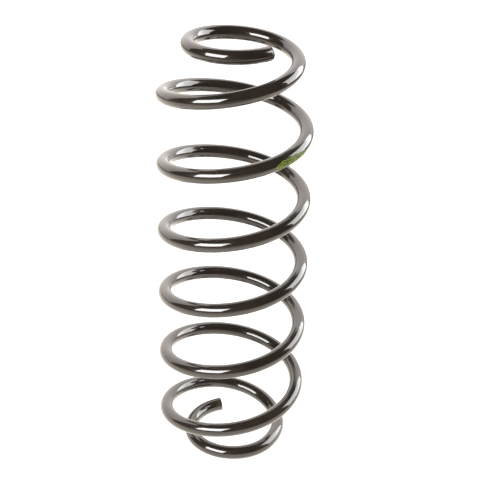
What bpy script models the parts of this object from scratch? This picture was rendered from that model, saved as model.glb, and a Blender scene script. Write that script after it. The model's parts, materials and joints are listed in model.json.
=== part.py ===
"""A suspension coil spring: one round steel bar, wound right-handed about the +Z axis.

The bar starts in a small flat end coil (the lower pigtail), which stands on the
floor, opens out into active coils of one size and pitch, and closes again into a
second small end coil (the upper pigtail). Places along the bar are given in turns
about the axis: turn 0 is on +X, turn 0.25 on +Y (the back), turn 0.75 on -Y (the
front), and the numbers grow upwards.

A coil spring moves by the twisting of its bar, so the bar is made as separate
stretches, each about a quarter of a turn. Each stretch has its origin at its lower
end, where a hinge along the bar joins it to the stretch below, its parent.
"""

import math

import bpy
from mathutils import Vector

# Sizes, in metres.
BAR_DIAMETER = 0.0125
COIL_RADIUS = 0.062  # axis to the middle of the bar, in the active coils
LOWER_PIGTAIL_RADIUS = 0.0408
LOWER_PIGTAIL_OFFSET = 0.0022  # of its middle from the axis, towards +X
UPPER_PIGTAIL_RADIUS = 0.0372
COIL_PITCH = 0.0635  # rise of an active coil in one turn
JOINT_GAP = 0.0003  # between the end faces of neighbouring stretches
END_RUN = 0.001  # straight run behind each end face, which squares the face to the bar

# Places along the bar, in turns about the axis.
LOWER_CUT_END = -0.701
UPPER_CUT_END = 6.881
LOWER_OPENING = (-0.088, 0.305)  # the radius grows from the lower pigtail to the coils
UPPER_CLOSING = (5.41, 6.787)  # and shrinks again to the upper pigtail
PITCH_START = (0.0, 0.16)  # the bar leaves the flat and reaches its full pitch
PITCH_END = (5.74, 6.635)  # and runs out flat again
FIRST_HINGE = 0.125
STRETCH_TURNS = 0.25

# Faceting of the tubes.
STEPS_PER_TURN = 48
BAR_SIDES = 12

COATING_COLOUR = (0.018, 0.016, 0.015, 1.0)
COATING_ROUGHNESS = 0.28

ACTIVE_COILS = 6
SIDES_OF_A_COIL = ("back", "left", "front", "right")


def eased(x):
    """A smooth step from 0 to 1."""
    x = min(max(x, 0.0), 1.0)
    return x * x * (3 - 2 * x)


def eased_run(x):
    """The area under the smooth step from 0 to x."""
    if x <= 0:
        return 0.0
    if x >= 1:
        return x - 0.5
    return x**3 - x**4 / 2


def share(turn, span):
    """Where a turn lies in a span of turns: 0 at its start and 1 at its end."""
    return (turn - span[0]) / (span[1] - span[0])


def bar_radius_about_axis(turn):
    """Distance from the winding's axis to the middle of the bar."""
    lower = (COIL_RADIUS - LOWER_PIGTAIL_RADIUS) * (1 - eased(share(turn, LOWER_OPENING)))
    upper = (COIL_RADIUS - UPPER_PIGTAIL_RADIUS) * eased(share(turn, UPPER_CLOSING))
    return COIL_RADIUS - lower - upper


def bar_height(turn):
    """Height of the middle of the bar over the floor."""
    started = (PITCH_START[1] - PITCH_START[0]) * eased_run(share(turn, PITCH_START))
    ended = (PITCH_END[1] - PITCH_END[0]) * eased_run(share(turn, PITCH_END))
    return BAR_DIAMETER / 2 + COIL_PITCH * (started - ended)


def bar_point(turn):
    """The middle of the bar."""
    angle = 2 * math.pi * turn
    radius = bar_radius_about_axis(turn)
    offset = LOWER_PIGTAIL_OFFSET * (1 - eased(share(turn, LOWER_OPENING)))
    across = radius * math.cos(angle) + offset
    return Vector((across, radius * math.sin(angle), bar_height(turn)))


def bar_direction(turn):
    """The bar's direction, towards its upper end."""
    step = 1e-4
    return (bar_point(turn + step) - bar_point(turn - step)).normalized()


def stretch_path(start, end):
    """The middle line of one stretch, square to the bar at both ends."""
    run_in = bar_direction(start)
    run_out = bar_direction(end)
    path = [bar_point(start) + run_in * (JOINT_GAP / 2 + run) for run in (0, END_RUN)]
    steps = round((end - start) * STEPS_PER_TURN)
    path += [bar_point(start + (end - start) * n / steps) for n in range(1, steps)]
    path += [bar_point(end) - run_out * (JOINT_GAP / 2 + run) for run in (END_RUN, 0)]
    return path


def equal_area_radius():
    """Corner radius of the many-sided bar that has the round bar's area and mass."""
    corner = 2 * math.pi / BAR_SIDES
    return BAR_DIAMETER / 2 * math.sqrt(corner / math.sin(corner))


def coating(name):
    """The glossy black paint on one stretch."""
    material = bpy.data.materials.new(name + "_coating")
    material.use_nodes = True
    surface = material.node_tree.nodes["Principled BSDF"]
    surface.inputs["Base Color"].default_value = COATING_COLOUR
    surface.inputs["Roughness"].default_value = COATING_ROUGHNESS
    surface.inputs["Metallic"].default_value = 0.0
    return material


def stretch(name, start, end, below, collection):
    """One stretch of the bar, with its origin on the hinge at its lower end."""
    curve = bpy.data.curves.new(name, "CURVE")
    curve.dimensions = "3D"
    curve.bevel_depth = equal_area_radius()
    curve.bevel_resolution = (BAR_SIDES - 4) // 2
    curve.use_fill_caps = True
    # a flat side, and not a corner, faces the floor
    curve.twist_mode = "Z_UP"
    half_side = math.pi / BAR_SIDES
    origin = bar_point(start)
    path = stretch_path(start, end)
    spline = curve.splines.new("POLY")
    spline.points.add(len(path) - 1)
    for point, place in zip(spline.points, path):
        point.co = (*(place - origin), 1)
        point.tilt = half_side
    curve.materials.append(coating(name))
    piece = bpy.data.objects.new(name, curve)
    collection.objects.link(piece)
    piece.parent = below
    piece.location = origin
    if below:
        piece.location = origin - below.matrix_world.translation
    bpy.context.view_layer.update()
    return piece


def stretch_names():
    """The stretches from the floor up."""
    coils = [
        f"active_coil_{coil}_{side}"
        for coil in range(1, ACTIVE_COILS + 1)
        for side in SIDES_OF_A_COIL
    ]
    lower = ["lower_pigtail_end", "lower_seat_coil_front", "lower_transition_right"]
    upper = ["upper_transition_back", "upper_seat_coil_left", "upper_pigtail_end"]
    return lower + coils + upper


def stretch_bounds(names):
    """Where along the bar the stretches begin, and where the last one ends."""
    first_joint = FIRST_HINGE - 2 * STRETCH_TURNS
    joints = [first_joint + n * STRETCH_TURNS for n in range(len(names) - 1)]
    return [LOWER_CUT_END, *joints, UPPER_CUT_END]


def main():
    for old in list(bpy.data.objects):
        bpy.data.objects.remove(old, do_unlink=True)
    spring = bpy.data.collections.new("coil_spring")
    bpy.context.scene.collection.children.link(spring)
    names = stretch_names()
    bounds = stretch_bounds(names)
    below = None
    for name, start, end in zip(names, bounds, bounds[1:]):
        below = stretch(name, start, end, below, spring)


main()
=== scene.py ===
"""The looks of the coil spring: one round steel bar under glossy black paint.

Each stretch of the bar is a smooth closed tube on the same centre line as its CAD
node, whose place it takes. Places along the bar are given in turns about the axis:
turn 0 is on +X, turn 0.25 at the back (+Y), turn 0.75 at the front (-Y).
"""

import json
import math

import bpy
import numpy as np
from mathutils import Matrix, Vector

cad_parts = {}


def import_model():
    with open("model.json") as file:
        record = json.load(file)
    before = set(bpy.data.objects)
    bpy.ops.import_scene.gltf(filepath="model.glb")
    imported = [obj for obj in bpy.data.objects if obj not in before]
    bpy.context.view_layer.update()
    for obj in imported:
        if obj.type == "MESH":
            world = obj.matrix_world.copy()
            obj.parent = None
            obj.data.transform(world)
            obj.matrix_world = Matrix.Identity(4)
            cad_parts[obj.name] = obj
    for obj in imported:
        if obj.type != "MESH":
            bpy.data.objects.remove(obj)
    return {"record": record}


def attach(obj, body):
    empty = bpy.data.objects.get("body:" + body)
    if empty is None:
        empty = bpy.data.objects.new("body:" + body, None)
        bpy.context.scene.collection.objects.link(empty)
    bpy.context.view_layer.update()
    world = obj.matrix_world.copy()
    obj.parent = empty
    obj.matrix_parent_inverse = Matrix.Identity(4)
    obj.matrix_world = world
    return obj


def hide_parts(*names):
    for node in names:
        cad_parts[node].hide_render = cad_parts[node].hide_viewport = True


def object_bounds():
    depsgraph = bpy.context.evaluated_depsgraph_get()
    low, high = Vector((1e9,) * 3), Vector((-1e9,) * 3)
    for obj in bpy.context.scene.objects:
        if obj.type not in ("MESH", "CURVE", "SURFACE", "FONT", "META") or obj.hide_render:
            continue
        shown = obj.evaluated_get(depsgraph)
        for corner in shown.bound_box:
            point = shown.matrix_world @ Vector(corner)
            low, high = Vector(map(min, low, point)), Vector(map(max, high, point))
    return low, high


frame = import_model()
CAD_LOW, CAD_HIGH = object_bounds()

# The bar, in metres and in turns, as in the CAD.
BAR_DIAMETER = 0.0125
COIL_RADIUS = 0.062
LOWER_PIGTAIL_RADIUS = 0.0408
LOWER_PIGTAIL_OFFSET = 0.0022  # of its middle from the axis, towards +X
UPPER_PIGTAIL_RADIUS = 0.0372
COIL_PITCH = 0.0635
LOWER_CUT_END = -0.701
UPPER_CUT_END = 6.881
LOWER_OPENING = (-0.088, 0.305)
UPPER_CLOSING = (5.41, 6.787)
PITCH_START = (0.0, 0.16)
PITCH_END = (5.74, 6.635)
FIRST_HINGE = 0.125
STRETCH_TURNS = 0.25
ACTIVE_COILS = 6
SIDES_OF_A_COIL = ("back", "left", "front", "right")

# The tubes' fineness.
STEPS_PER_TURN = 144
BAR_SIDES = 48


# ---------------------------------------------------------------- the bar's centre line


def eased(x):
    """A smooth step from 0 to 1."""
    x = np.clip(x, 0, 1)
    return x * x * (3 - 2 * x)


def eased_run(x):
    """The area under the smooth step from 0 to x."""
    inside = np.clip(x, 0, 1)
    return inside**3 - inside**4 / 2 + np.maximum(x - 1, 0)


def share(turn, span):
    """Where a turn lies in a span of turns: 0 at its start and 1 at its end."""
    return (turn - span[0]) / (span[1] - span[0])


def bar_points(turn):
    """The middle of the bar at each turn."""
    turn = np.asarray(turn, float)
    lower = (COIL_RADIUS - LOWER_PIGTAIL_RADIUS) * (1 - eased(share(turn, LOWER_OPENING)))
    upper = (COIL_RADIUS - UPPER_PIGTAIL_RADIUS) * eased(share(turn, UPPER_CLOSING))
    radius = COIL_RADIUS - lower - upper
    started = (PITCH_START[1] - PITCH_START[0]) * eased_run(share(turn, PITCH_START))
    ended = (PITCH_END[1] - PITCH_END[0]) * eased_run(share(turn, PITCH_END))
    height = BAR_DIAMETER / 2 + COIL_PITCH * (started - ended)
    angle = 2 * math.pi * turn
    offset = LOWER_PIGTAIL_OFFSET * (1 - eased(share(turn, LOWER_OPENING)))
    across = radius * np.cos(angle) + offset
    return np.stack([across, radius * np.sin(angle), height], axis=1)


def unit(vectors):
    return vectors / np.linalg.norm(vectors, axis=1, keepdims=True)


def bar_frames(turn):
    """Three directions at each turn: along the bar, outward, and upward."""
    turn = np.asarray(turn, float)
    step = 1e-4
    along = unit(bar_points(turn + step) - bar_points(turn - step))
    angle = 2 * math.pi * turn
    radial = np.stack([np.cos(angle), np.sin(angle), np.zeros_like(angle)], axis=1)
    out = unit(radial - along * (along * radial).sum(axis=1, keepdims=True))
    return along, out, np.cross(out, along)


# ---------------------------------------------------------------- materials


RANGE_SOCKETS = ("From Min", "From Max", "To Min", "To Max")


class Nodes:
    """A material's node tree, with short calls to add to it."""

    def __init__(self, name):
        self.material = bpy.data.materials.new(name)
        self.material.use_nodes = True
        self.tree = self.material.node_tree
        self.surface = self.tree.nodes["Principled BSDF"]
        coordinates = self.tree.nodes.new("ShaderNodeTexCoord")
        self.place = coordinates.outputs["Object"]

    def link(self, output, target):
        """A wire from an output to a socket."""
        self.tree.links.new(output, target)

    def noise(self, scale, detail=2.0, roughness=0.5, stretch=None):
        """Noise of a scale per metre, from 0 to 1."""
        node = self.tree.nodes.new("ShaderNodeTexNoise")
        node.inputs["Scale"].default_value = scale
        node.inputs["Detail"].default_value = detail
        node.inputs["Roughness"].default_value = roughness
        place = self.place
        if stretch:
            mapping = self.tree.nodes.new("ShaderNodeMapping")
            mapping.inputs["Scale"].default_value = stretch
            self.link(self.place, mapping.inputs["Vector"])
            place = mapping.outputs["Vector"]
        self.link(place, node.inputs["Vector"])
        return node.outputs["Fac"]

    def attribute(self, name):
        """A number that the mesh holds at each vertex."""
        node = self.tree.nodes.new("ShaderNodeAttribute")
        node.attribute_name = name
        return node.outputs["Fac"]

    def ramp(self, value, low, high, start, end):
        """The value's range low..high spread over start..end."""
        node = self.tree.nodes.new("ShaderNodeMapRange")
        node.interpolation_type = "SMOOTHSTEP"
        for socket, number in zip(RANGE_SOCKETS, (low, high, start, end)):
            node.inputs[socket].default_value = number
        self.link(value, node.inputs["Value"])
        return node.outputs["Result"]

    def math(self, operation, first, second):
        """An operation on two numbers or outputs."""
        node = self.tree.nodes.new("ShaderNodeMath")
        node.operation = operation
        for socket, value in zip(node.inputs, (first, second)):
            if isinstance(value, (int, float)):
                socket.default_value = value
            else:
                self.link(value, socket)
        return node.outputs["Value"]

    def mix(self, share_of_second, first, second):
        """A blend of two colours or colour outputs."""
        node = self.tree.nodes.new("ShaderNodeMix")
        node.data_type = "RGBA"
        self.link(share_of_second, node.inputs["Factor"])
        for socket, colour in ((node.inputs[6], first), (node.inputs[7], second)):
            if isinstance(colour, tuple):
                socket.default_value = (*colour, 1)
            else:
                self.link(colour, socket)
        return node.outputs[2]

    def bump(self, height, distance, strength=1.0, under=None):
        """A normal tilted by a height, over another normal if there is one."""
        node = self.tree.nodes.new("ShaderNodeBump")
        node.inputs["Strength"].default_value = strength
        node.inputs["Distance"].default_value = distance
        self.link(height, node.inputs["Height"])
        if under:
            self.link(under, node.inputs["Normal"])
        return node.outputs["Normal"]

    def set(self, **values):
        """Constants for the surface's sockets."""
        for name, value in values.items():
            self.surface.inputs[name.replace("_", " ")].default_value = value


PAINT_DARK = (0.0125, 0.0088, 0.0060)
PAINT_PALER = (0.0205, 0.0145, 0.0100)
PAINT_DUST = (0.06, 0.052, 0.045)
PAINT_THIN = (0.062, 0.045, 0.016)
STEEL_DARK = (0.045, 0.036, 0.018)
STEEL_PALER = (0.14, 0.115, 0.065)
STEEL_RIDGE = (0.34, 0.30, 0.22)
GREEN_DARK = (0.085, 0.125, 0.008)
GREEN_PALER = (0.180, 0.250, 0.022)
GREEN_OVER_BLACK = (0.016, 0.026, 0.005)


def coating_material():
    """Glossy brown-black baked paint with a faint orange peel, thin and dull at the cuts."""
    paint = Nodes("coating")
    broad = paint.noise(38, 3)
    fine = paint.noise(420, 3)
    colour = paint.mix(paint.ramp(broad, 0.35, 0.65, 0, 1), PAINT_DARK, PAINT_PALER)
    dust = paint.ramp(paint.noise(2600, 2), 0.68, 0.78, 0, 0.35)
    colour = paint.mix(dust, colour, PAINT_DUST)
    thin = paint.attribute("thin_paint")
    patchy = paint.math("MULTIPLY", thin, paint.ramp(fine, 0.3, 0.6, 0.55, 1))
    colour = paint.mix(patchy, colour, PAINT_THIN)
    paint.link(colour, paint.surface.inputs["Base Color"])
    rough = paint.math(
        "ADD",
        paint.ramp(broad, 0.3, 0.7, 0.16, 0.24),
        paint.ramp(fine, 0.45, 0.75, 0.0, 0.06),
    )
    rough = paint.math("ADD", rough, paint.math("MULTIPLY", patchy, 0.25))
    paint.link(rough, paint.surface.inputs["Roughness"])
    waves = paint.bump(paint.noise(95, 1), 0.00035, 0.35)
    peel = paint.bump(paint.noise(620, 2), 0.00003, 0.5, waves)
    paint.link(peel, paint.surface.inputs["Normal"])
    paint.set(IOR=1.5, Specular_IOR_Level=0.2, Coat_Weight=1.0, Coat_Roughness=0.02, Coat_IOR=1.7)
    return paint.material


def cut_material():
    """Sheared steel at the bar's ends: olive-brown, with brighter torn ridges."""
    steel = Nodes("cut_steel")
    grain = steel.noise(900, 4, 0.65)
    broad = steel.noise(210, 3)
    colour = steel.mix(steel.ramp(broad, 0.35, 0.7, 0, 1), STEEL_DARK, STEEL_PALER)
    colour = steel.mix(steel.ramp(grain, 0.58, 0.72, 0, 0.8), colour, STEEL_RIDGE)
    steel.link(colour, steel.surface.inputs["Base Color"])
    steel.link(steel.ramp(grain, 0.3, 0.7, 0.6, 0.32), steel.surface.inputs["Roughness"])
    steel.link(steel.ramp(grain, 0.45, 0.7, 0.15, 0.75), steel.surface.inputs["Metallic"])
    steel.link(steel.bump(grain, 0.00018, 0.6), steel.surface.inputs["Normal"])
    return steel.material


def mark_material():
    """Brushed lime-green marking paint, thin enough in places for the black to show."""
    green = Nodes("marking_paint")
    streaks = green.noise(330, 3, 0.6, (1, 1, 2.4))
    thick = green.noise(900, 2)
    colour = green.mix(green.ramp(streaks, 0.4, 0.62, 0, 1), GREEN_DARK, GREEN_PALER)
    colour = green.mix(green.ramp(thick, 0.50, 0.64, 0, 0.85), colour, GREEN_OVER_BLACK)
    green.link(colour, green.surface.inputs["Base Color"])
    green.link(green.ramp(streaks, 0.3, 0.7, 0.42, 0.26), green.surface.inputs["Roughness"])
    green.link(green.bump(streaks, 0.00012, 0.6), green.surface.inputs["Normal"])
    green.set(IOR=1.48)
    return green.material


COATING = coating_material()
CUT_STEEL = cut_material()
MARK_PAINT = mark_material()


# ---------------------------------------------------------------- mesh building

ANGLES = np.linspace(0, 2 * math.pi, BAR_SIDES, endpoint=False)


def rings(turn, radius, shift=0.0, angles=ANGLES):
    """Points round the bar, a row for each turn, and the directions they lie in."""
    along, out, up = bar_frames(turn)
    facing = out[:, None] * np.cos(angles)[:, None] + up[:, None] * np.sin(angles)[:, None]
    middle = bar_points(turn) + along * np.broadcast_to(shift, len(turn))[:, None]
    reach = np.broadcast_to(np.asarray(radius, float), (len(turn), len(angles)))
    return middle[:, None] + facing * reach[..., None], facing


def new_piece(name, body, points, faces, corner_normals, face_materials, materials, thinness=None):
    """A mesh with normals of its own, held inside the CAD's box, which rides on a body."""
    mesh = bpy.data.meshes.new(name)
    held = np.clip(points, np.array(CAD_LOW), np.array(CAD_HIGH))
    mesh.from_pydata(held.tolist(), [], faces)
    for material in materials:
        mesh.materials.append(material)
    mesh.polygons.foreach_set("material_index", face_materials)
    mesh.polygons.foreach_set("use_smooth", [True] * len(faces))
    mesh.update()
    mesh.normals_split_custom_set(np.asarray(corner_normals).tolist())
    if thinness is not None:
        values = mesh.attributes.new("thin_paint", "FLOAT", "POINT")
        values.data.foreach_set("value", np.asarray(thinness, np.float32).ravel())
    piece = bpy.data.objects.new(name, mesh)
    bpy.context.scene.collection.objects.link(piece)
    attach(piece, body)
    return piece


def quads(rows, columns, closed=True):
    """Faces between rows of points, each facing away from the bar's middle."""
    wide = columns if closed else columns - 1
    return [
        (
            row * columns + column,
            (row + 1) * columns + column,
            (row + 1) * columns + (column + 1) % columns,
            row * columns + (column + 1) % columns,
        )
        for row in range(rows - 1)
        for column in range(wide)
    ]


def grid_normals(points):
    """Normals of a closed grid of rows, from its own shape."""
    down = np.gradient(points, axis=0)
    across = np.roll(points, -1, axis=1) - np.roll(points, 1, axis=1)
    normals = np.cross(down, across)
    return normals / np.maximum(np.linalg.norm(normals, axis=2, keepdims=True), 1e-12)


BAR_RADIUS = BAR_DIAMETER / 2
# A cut end: from the full bar over the thick edge of paint and across the face, each
# row's distance behind the end face and its radius, in metres.
CUT_PROFILE = (
    (0.00300, 0.00625),
    (0.00200, 0.00625),
    (0.00150, 0.00627),
    (0.00110, 0.00636),
    (0.00075, 0.00642),
    (0.00045, 0.00641),
    (0.00022, 0.00634),
    (0.00008, 0.00622),
    (0.00001, 0.00606),
    (0.00000, 0.00592),
    (0.00001, 0.00560),
    (0.00004, 0.00480),
    (0.00007, 0.00360),
    (0.00008, 0.00240),
    (0.00008, 0.00120),
)
FACE_ROWS = 6  # how many of the profile's last rows are bare steel
END_ROW_GAP = 0.0036  # from the cut to the nearest of the bar's plain rows
SHEAR_DEPTH = 0.00010  # of the waves that the shears left in the face
SHEAR_REACH = 0.0015
THIN_PAINT_LENGTH = 0.0075  # behind each cut the paint thins out over this length
LOWER_THINNESS = 1.0
UPPER_THINNESS = 0.4


def uneven(angles, seed):
    """A gentle uneven curve round the bar, from -1 to 1."""
    waves = [(2, 0.9, 0.35), (3, 2.1, 0.30), (5, 4.4, 0.2), (9, 1.3, 0.15)]
    return sum(size * np.sin(count * angles + start * seed) for count, start, size in waves)


def cut_rows(turn, side, seed):
    """The rows of a cut end. side is -1 at the bar's start and 1 at its end."""
    behind = np.array([row[0] for row in CUT_PROFILE])
    radius = np.array([row[1] for row in CUT_PROFILE])
    turns = np.full(len(behind), turn)
    edge = np.clip(radius - BAR_RADIUS, 0, None)[:, None] * (0.8 + 0.4 * uneven(ANGLES, seed))
    reach = np.minimum(radius, BAR_RADIUS)[:, None] + edge
    points, _ = rings(turns, reach, -side * behind)
    along, _, _ = bar_frames(turns)
    shear = SHEAR_DEPTH * uneven(ANGLES, seed + 1.7) * (radius / BAR_RADIUS)[:, None]
    shear *= np.clip(1 - behind / SHEAR_REACH, 0, 1)[:, None]
    points -= side * along[:, None] * np.abs(shear)[..., None]
    return points


def stretch(name, body, start, end, cut_start=False, cut_end=False):
    """One closed length of the painted bar."""
    steps = max(2, round((end - start) * STEPS_PER_TURN))
    turns = np.linspace(start, end, steps + 1)
    per_turn = np.linalg.norm(bar_points([start + 0.001]) - bar_points([start])) / 0.001
    if cut_start:
        turns = turns[turns > start + END_ROW_GAP / per_turn]
    if cut_end:
        turns = turns[turns < end - END_ROW_GAP / per_turn]
    points, facing = rings(turns, BAR_RADIUS)
    bare = np.zeros(len(points), bool)
    if cut_start:
        rows = cut_rows(start, -1, 1.0)[::-1]
        points = np.concatenate([rows, points])
        facing = np.concatenate([grid_normals(points)[: len(rows)], facing])
        bare = np.concatenate([np.arange(len(rows)) < FACE_ROWS, bare])
    if cut_end:
        rows = cut_rows(end, 1, 2.0)
        whole = np.concatenate([points, rows])
        facing = np.concatenate([facing, grid_normals(whole)[-len(rows) :]])
        bare = np.concatenate([bare, np.arange(len(rows)) >= len(rows) - FACE_ROWS])
        points = whole
    count = len(points)
    faces = quads(count, BAR_SIDES)
    normals = [facing[index // BAR_SIDES, index % BAR_SIDES] for face in faces for index in face]
    materials = [int(bare[row] or bare[row + 1]) for row in range(count - 1) for _ in range(BAR_SIDES)]
    along, _, _ = bar_frames([start, end])
    first = tuple(range(BAR_SIDES))
    last = tuple(range(count * BAR_SIDES - 1, (count - 1) * BAR_SIDES - 1, -1))
    for cap, direction, is_cut in ((first, -along[0], cut_start), (last, along[1], cut_end)):
        faces.append(cap)
        normals += [direction] * BAR_SIDES
        materials.append(int(is_cut))
    ends = bar_points([start, end])
    thinness = np.zeros(points.shape[:2])
    for is_cut, at, amount in ((cut_start, ends[0], LOWER_THINNESS), (cut_end, ends[1], UPPER_THINNESS)):
        if is_cut:
            far = np.linalg.norm(points - at, axis=2) / THIN_PAINT_LENGTH
            thinness += amount * eased(1.35 - far + 0.25 * uneven(ANGLES, 3.1))
    piece = new_piece(
        "painted_" + name,
        body,
        points.reshape(-1, 3),
        faces,
        normals,
        materials,
        [COATING, CUT_STEEL],
        thinness,
    )
    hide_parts(name)


# The marking paint: where its middle lies on the bar, and its reach, in turns along the
# bar and in degrees round it, from outward (0) towards upward (90).
MARK_MIDDLE = 4.878
MARK_REACH = 0.046
MARK_TOP = (-9, 42)
MARK_UNDERSIDE = (-16, -38)
MARK_THICKNESS = 0.00016
MARK_SUNK = 0.00004  # how far the film's rim dips into the coating
FILM_ROWS = 41
FILM_COLUMNS = 45
MARK_SEAM = 4.875  # the joint between the two stretches that it crosses


def mark_edges(turn):
    """The upper and lower edges of the brushed mark, in radians round the bar."""
    x = (turn - MARK_MIDDLE) / MARK_REACH
    swell = np.clip(1 - np.abs(x) ** 2.6, 0, 1) ** 0.7
    ragged = 2.2 * np.sin(x * 9.1 + 0.7) + 1.5 * np.sin(x * 23 + 2.0) + 0.9 * np.sin(x * 51)
    top = MARK_TOP[0] + MARK_TOP[1] * swell * (1 - 0.12 * x) + ragged * swell
    low = MARK_UNDERSIDE[0] + MARK_UNDERSIDE[1] * swell - ragged[::-1] * swell
    return np.radians(top), np.radians(low)


def mark(name, node, start, end):
    """One length of the paint film: a thin closed sheet over the coating."""
    rows, columns = FILM_ROWS, FILM_COLUMNS
    turns = np.linspace(start, end, rows)
    top, low = mark_edges(turns)
    across = np.linspace(0, 1, columns)
    angles = low[:, None] + (top - low)[:, None] * across
    _, out, up = bar_frames(turns)
    facing = out[:, None] * np.cos(angles)[..., None] + up[:, None] * np.sin(angles)[..., None]
    x = (turns - MARK_MIDDLE) / MARK_REACH
    thick = eased((1 - np.abs(x)) * 9)[:, None] * eased(across * 14) * eased((1 - across) * 14)
    brushed = 0.8 + 0.2 * np.sin(angles * 31 + 3 * np.sin(x * 3)[:, None])
    height = MARK_THICKNESS * thick * brushed - MARK_SUNK * (1 - thick)
    middle = bar_points(turns)[:, None]
    upper = middle + facing * (BAR_RADIUS + height)[..., None]
    lower = middle + facing * (BAR_RADIUS - 2 * MARK_SUNK)
    size = rows * columns
    sheet = quads(rows, columns, closed=False)
    faces = sheet + [tuple(size + index for index in reversed(face)) for face in sheet]
    rim = [row * columns for row in range(rows)]
    rim += [(rows - 1) * columns + column for column in range(1, columns)]
    rim += [row * columns + columns - 1 for row in range(rows - 2, -1, -1)]
    rim += [column for column in range(columns - 2, 0, -1)]
    faces += [(b, a, a + size, b + size) for a, b in zip(rim, rim[1:] + rim[:1])]
    points = np.concatenate([upper.reshape(-1, 3), lower.reshape(-1, 3)])
    normals = np.cross(np.gradient(upper, axis=0), np.gradient(upper, axis=1)).reshape(-1, 3)
    normals = unit(normals)
    corner_normals = [normals[index] for face in sheet for index in face]
    underside = faces[len(sheet) : 2 * len(sheet)]
    corner_normals += [-normals[index - size] for face in underside for index in face]
    for face in faces[2 * len(sheet) :]:
        a, b, c = (points[index] for index in face[:3])
        corner_normals += [unit(np.cross(b - a, c - b)[None])[0]] * 4
    one_material = [0] * len(faces)
    new_piece(name, BODY_OF_NODE[node], points, faces, corner_normals, one_material, [MARK_PAINT])


def build_mark():
    """The mark, in two films that meet at the joint it crosses."""
    first = MARK_MIDDLE - MARK_REACH
    last = MARK_MIDDLE + MARK_REACH
    mark("marking_paint_lower", "active_coil_5_front", first, MARK_SEAM)
    mark("marking_paint_upper", "active_coil_5_right", MARK_SEAM, last)


def stretch_names():
    """The CAD's nodes from the floor up."""
    coils = [
        f"active_coil_{coil}_{side}"
        for coil in range(1, ACTIVE_COILS + 1)
        for side in SIDES_OF_A_COIL
    ]
    lower = ["lower_pigtail_end", "lower_seat_coil_front", "lower_transition_right"]
    upper = ["upper_transition_back", "upper_seat_coil_left", "upper_pigtail_end"]
    return lower + coils + upper


BODY_OF_NODE = {
    node: body
    for body, nodes in frame["record"]["behaviour"]["bodies"].items()
    for node in nodes
}


def build_bar():
    """Every stretch of the bar, from joint to joint."""
    names = stretch_names()
    first_joint = FIRST_HINGE - 2 * STRETCH_TURNS
    joints = [first_joint + n * STRETCH_TURNS for n in range(len(names) - 1)]
    bounds = [LOWER_CUT_END, *joints, UPPER_CUT_END]
    for name, start, end in zip(names, bounds, bounds[1:]):
        stretch(
            name,
            BODY_OF_NODE[name],
            start,
            end,
            cut_start=name == names[0],
            cut_end=name == names[-1],
        )


# ---------------------------------------------------------------- floor, light, camera


FLOOR_HALF = 6.0
# Tints of the floor's painted glow, far from the spring and close to it.
FLOOR_PAINTED_GLOW_FAR_TINT = (1.0, 0.84, 0.68)
FLOOR_PAINTED_GLOW_CLOSE_TINT = (1.0, 0.935, 0.83)


def floor():
    """A white floor. In reflections it shows painted light: it glows, brightest close to the spring and
    dimmer towards the front and far to each side, a painted pool of light that no lamp casts.
    """
    mesh = bpy.data.meshes.new("floor")
    corners = [(x * FLOOR_HALF, y * FLOOR_HALF, 0) for x, y in ((-1, -1), (1, -1), (1, 1), (-1, 1))]
    mesh.from_pydata(corners, [], [(0, 1, 2, 3)])
    paper = Nodes("floor_white_painted_glow")
    paper.set(Roughness=0.9, Specular_IOR_Level=0.1)
    split = paper.tree.nodes.new("ShaderNodeSeparateXYZ")
    paper.link(paper.place, split.inputs[0])
    # Painted light: how strongly the floor glows in reflections, a painted pool of light that is
    # strongest close to the spring.
    painted_pool_of_light = paper.math(
        "MULTIPLY",
        paper.ramp(split.outputs["Y"], -0.8, -0.25, 0.32, 1),
        paper.ramp(split.outputs["X"], -1.7, -0.9, 0.3, 1),
    )
    painted_pool_of_light = paper.math("MULTIPLY", painted_pool_of_light, paper.ramp(split.outputs["X"], 0.55, 0.95, 1.25, 0.25))
    # The painted glow: emission that reflected and bounced rays see in place of the lit floor.
    glow = paper.tree.nodes.new("ShaderNodeEmission")
    paper.link(paper.math("MULTIPLY", painted_pool_of_light, 1.2), glow.inputs["Strength"])
    paper.link(paper.mix(painted_pool_of_light, FLOOR_PAINTED_GLOW_FAR_TINT, FLOOR_PAINTED_GLOW_CLOSE_TINT), glow.inputs["Color"])
    seen = paper.tree.nodes.new("ShaderNodeMixShader")
    rays = paper.tree.nodes.new("ShaderNodeLightPath")
    paper.set(Base_Color=(0.5, 0.5, 0.5, 1), Emission_Color=(1, 1, 1, 1), Emission_Strength=0.95)
    paper.link(rays.outputs["Is Camera Ray"], seen.inputs["Fac"])
    paper.link(glow.outputs[0], seen.inputs[1])
    paper.link(paper.surface.outputs[0], seen.inputs[2])
    paper.link(seen.outputs[0], paper.tree.nodes["Material Output"].inputs["Surface"])
    mesh.materials.append(paper.material)
    plane = bpy.data.objects.new("floor", mesh)
    bpy.context.scene.collection.objects.link(plane)


SPRING_MIDDLE = Vector((0, 0, 0.2))


def softbox(name, azimuth, elevation, distance, width, height, radiance):
    """A flat studio light. Azimuth 0 is at the camera's side, and grows to the right."""
    light = bpy.data.lights.new(name, "AREA")
    light.shape = "RECTANGLE"
    light.size = width
    light.size_y = height
    light.energy = radiance * math.pi * width * height
    box = bpy.data.objects.new(name, light)
    bpy.context.scene.collection.objects.link(box)
    a = math.radians(azimuth)
    e = math.radians(elevation)
    towards = Vector((math.sin(a) * math.cos(e), -math.cos(a) * math.cos(e), math.sin(e)))
    box.location = SPRING_MIDDLE + towards * distance
    box.rotation_euler = towards.to_track_quat("Z", "Y").to_euler()
    box.visible_camera = False


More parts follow.
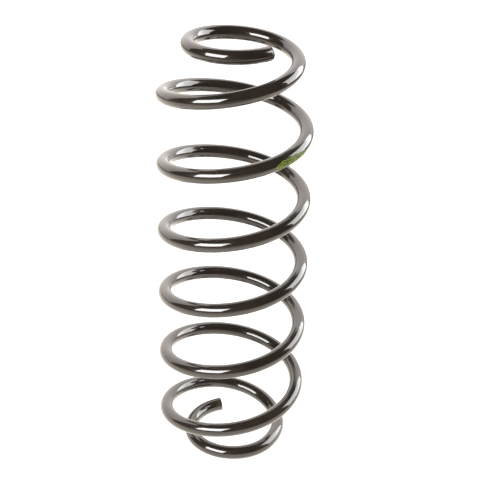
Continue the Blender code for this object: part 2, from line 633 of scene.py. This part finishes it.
def lights():
    """A bright panel at the front left and a larger, softer one at the right."""
    softbox(
        "softbox_front_left",
        azimuth=-41,
        elevation=26,
        distance=1.6,
        width=1.2,
        height=0.95,
        radiance=12,
    )
    softbox(
        "softbox_right",
        azimuth=109,
        elevation=22,
        distance=1.8,
        width=1.5,
        height=1.5,
        radiance=5.2,
    )


# The backdrop in reflections. Directions are unit vectors, so a slope sets how far round
# each side reaches, and a height is the sine of an angle over the horizontal.
BACKDROP_LEFT_SLOPE = 0.305
BACKDROP_RIGHT_SLOPE = -1.15
BACKDROP_RIGHT_LEAN = -1.35  # the lower down, the further round to the right
BACKDROP_TINT = (1.0, 0.94, 0.905, 1)
ROOM_GLOW = 0.1  # outside the backdrop
SEEN_WHITE = 1.6


def world():
    """White to the eye. In reflections: a pale backdrop behind, dark above and in front."""
    scene_world = bpy.data.worlds.new("studio")
    bpy.context.scene.world = scene_world
    scene_world.use_nodes = True
    tree = scene_world.node_tree
    tree.nodes.clear()
    new, link = tree.nodes.new, tree.links.new
    split = new("ShaderNodeSeparateXYZ")
    link(new("ShaderNodeTexCoord").outputs["Generated"], split.inputs[0])

    def ramp(value, low, high, start, end):
        node = new("ShaderNodeMapRange")
        node.interpolation_type = "SMOOTHSTEP"
        for socket, number in zip(RANGE_SOCKETS, (low, high, start, end)):
            node.inputs[socket].default_value = number
        link(value, node.inputs["Value"])
        return node.outputs["Result"]

    def product(first, second):
        node = new("ShaderNodeMath")
        node.operation = "MULTIPLY"
        link(first, node.inputs[0])
        link(second, node.inputs[1])
        return node.outputs["Value"]

    def slope(value, factor, added):
        node = new("ShaderNodeMath")
        node.operation = "MULTIPLY_ADD"
        link(value, node.inputs[0])
        node.inputs[1].default_value = factor
        link(added, node.inputs[2])
        return node.outputs["Value"]

    leftward = slope(split.outputs["X"], BACKDROP_LEFT_SLOPE, split.outputs["Y"])
    behind_left = ramp(leftward, -0.02, 0.06, 0, 1)
    rightward = slope(split.outputs["X"], BACKDROP_RIGHT_SLOPE, split.outputs["Y"])
    lowered = slope(split.outputs["Z"], BACKDROP_RIGHT_LEAN, rightward)
    behind_right = ramp(lowered, -1.04, -0.96, 0, 1)
    below_top = ramp(split.outputs["Z"], 0.765, 0.81, 1, 0)
    upward = ramp(split.outputs["Z"], 0.0, 0.75, 1.15, 2.0)
    upward.node.interpolation_type = "LINEAR"
    backdrop = product(product(product(behind_left, behind_right), below_top), upward)
    strength = ramp(backdrop, 0, 1, ROOM_GLOW, 1 + ROOM_GLOW)
    strength.node.interpolation_type = "LINEAR"
    strength.node.clamp = False
    seen = new("ShaderNodeBackground")
    lit = new("ShaderNodeBackground")
    choice = new("ShaderNodeMixShader")
    lit.inputs["Color"].default_value = BACKDROP_TINT
    link(strength, lit.inputs["Strength"])
    seen.inputs["Strength"].default_value = SEEN_WHITE
    seen.inputs["Color"].default_value = (1, 1, 1, 1)
    link(new("ShaderNodeLightPath").outputs["Is Camera Ray"], choice.inputs["Fac"])
    link(lit.outputs[0], choice.inputs[1])
    link(seen.outputs[0], choice.inputs[2])
    link(choice.outputs[0], new("ShaderNodeOutputWorld").inputs["Surface"])


CAMERA_PLACE = Vector((0, -0.9041, 0.6668))
CAMERA_DIP = 0.4676  # radians below the horizontal
CAMERA_ROLL = 0.0137
CAMERA_LENS = 84.2
CAMERA_SHIFT = (0.0147, 0.0036)


def camera():
    """The camera in front of the spring and above it."""
    data = bpy.data.cameras.new("camera")
    data.lens = CAMERA_LENS
    data.sensor_width = 36
    data.shift_x, data.shift_y = CAMERA_SHIFT
    data.clip_start = 0.01
    shown = bpy.data.objects.new("camera", data)
    bpy.context.scene.collection.objects.link(shown)
    turned = Matrix.Rotation(math.pi / 2 - CAMERA_DIP, 4, "X") @ Matrix.Rotation(CAMERA_ROLL, 4, "Z")
    shown.matrix_world = Matrix.Translation(CAMERA_PLACE) @ turned
    bpy.context.scene.camera = shown


build_bar()
build_mark()
floor()
lights()
world()
camera()
bpy.context.scene.view_settings.view_transform = "Standard"
